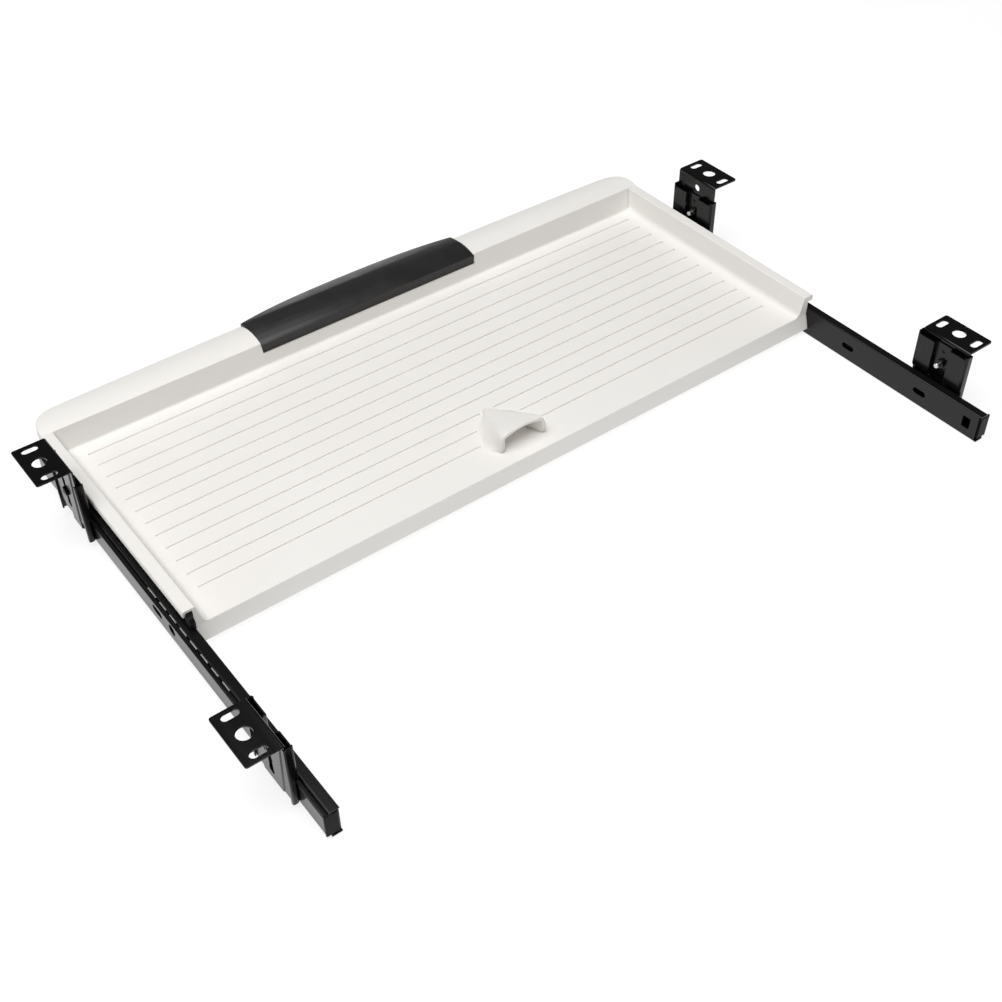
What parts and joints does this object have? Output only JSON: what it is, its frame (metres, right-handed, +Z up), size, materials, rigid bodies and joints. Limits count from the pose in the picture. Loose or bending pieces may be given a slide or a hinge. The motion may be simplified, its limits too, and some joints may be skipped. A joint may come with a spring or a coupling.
{
  "type": "under desk drawer",
  "caption": "Slide-out under-desk tray with a ribbed floor, cable hood and pull handle, on ball slides hung from height-adjustable desk brackets",
  "frame": {"origin": "centre of the four brackets, on the desk's underside, in the plane of the front flange tops", "axes": "+Z up, -Y towards the user and the handle, +Y to the rear, +X the user's right"},
  "size_m": [0.726, 0.503, 0.0795],
  "materials": {
    "white_plastic": "satin moulded ABS, warm white, fine texture",
    "handle_plastic": "satin black moulded plastic",
    "black_plastic": "matte black moulded plastic",
    "rail_steel": "satin black coated steel with a dry grease film",
    "bracket_steel": "satin black powder coat",
    "rivet_steel": "blackened steel, slightly worn",
    "screw_steel": "bright zinc plate",
    "zinc_strip": "zinc-plated spring strip",
    "ball_steel": "polished bearing steel"
  },
  "bodies": {
    "rail_frame": {"cabinet_rail_right": "rail_steel", "rear_stop_right": "black_plastic", "plate_rivets_right": "rivet_steel", "guide_plate_front_right": "bracket_steel", "clamp_screw_front_right": "screw_steel", "guide_plate_rear_right": "bracket_steel", "clamp_screw_rear_right": "screw_steel", "cabinet_rail_left": "rail_steel", "rear_stop_left": "black_plastic", "plate_rivets_left": "rivet_steel", "guide_plate_front_left": "bracket_steel", "clamp_screw_front_left": "screw_steel", "guide_plate_rear_left": "bracket_steel", "clamp_screw_rear_left": "screw_steel"},
    "drawer": {"tray": "white_plastic", "rim_clip": "black_plastic", "pull_handle": "handle_plastic", "handle_screws": "screw_steel", "drawer_rail_right": "rail_steel", "tray_screws_right": "screw_steel", "drawer_rail_left": "rail_steel", "tray_screws_left": "screw_steel"},
    "retainer_right": {"ball_retainer_right": "zinc_strip", "bearing_balls_right": "ball_steel"},
    "retainer_left": {"ball_retainer_left": "zinc_strip", "bearing_balls_left": "ball_steel"},
    "hanger_front_right": {"hanger_front_right": "bracket_steel"},
    "hanger_front_left": {"hanger_front_left": "bracket_steel"},
    "hanger_rear_right": {"hanger_rear_right": "bracket_steel"},
    "hanger_rear_left": {"hanger_rear_left": "bracket_steel"}
  },
  "joints": [
    {"name": "drawer_slide", "type": "slide", "parent": "rail_frame", "child": "drawer", "axis": [0, -1, 0], "range_m": [0, 0.215]},
    {"name": "retainer_slide_right", "type": "slide", "parent": "rail_frame", "child": "retainer_right", "axis": [0, -1, 0], "range_m": [0, 0.1075]},
    {"name": "retainer_slide_left", "type": "slide", "parent": "rail_frame", "child": "retainer_left", "axis": [0, -1, 0], "range_m": [0, 0.1075]},
    {"name": "height_front_right", "type": "slide", "parent": "rail_frame", "child": "hanger_front_right", "axis": [0, 0, 1], "range_m": [-0.013, 0.013]},
    {"name": "height_front_left", "type": "slide", "parent": "rail_frame", "child": "hanger_front_left", "axis": [0, 0, 1], "range_m": [-0.013, 0.013]},
    {"name": "height_rear_right", "type": "slide", "parent": "rail_frame", "child": "hanger_rear_right", "axis": [0, 0, 1], "range_m": [0, 0.026]},
    {"name": "height_rear_left", "type": "slide", "parent": "rail_frame", "child": "hanger_rear_left", "axis": [0, 0, 1], "range_m": [0, 0.026]}
  ],
  "couplings": [
    {"joint": "retainer_slide_right", "follows": "drawer_slide", "ratio": 0.5},
    {"joint": "retainer_slide_left", "follows": "drawer_slide", "ratio": 0.5}
  ]
}
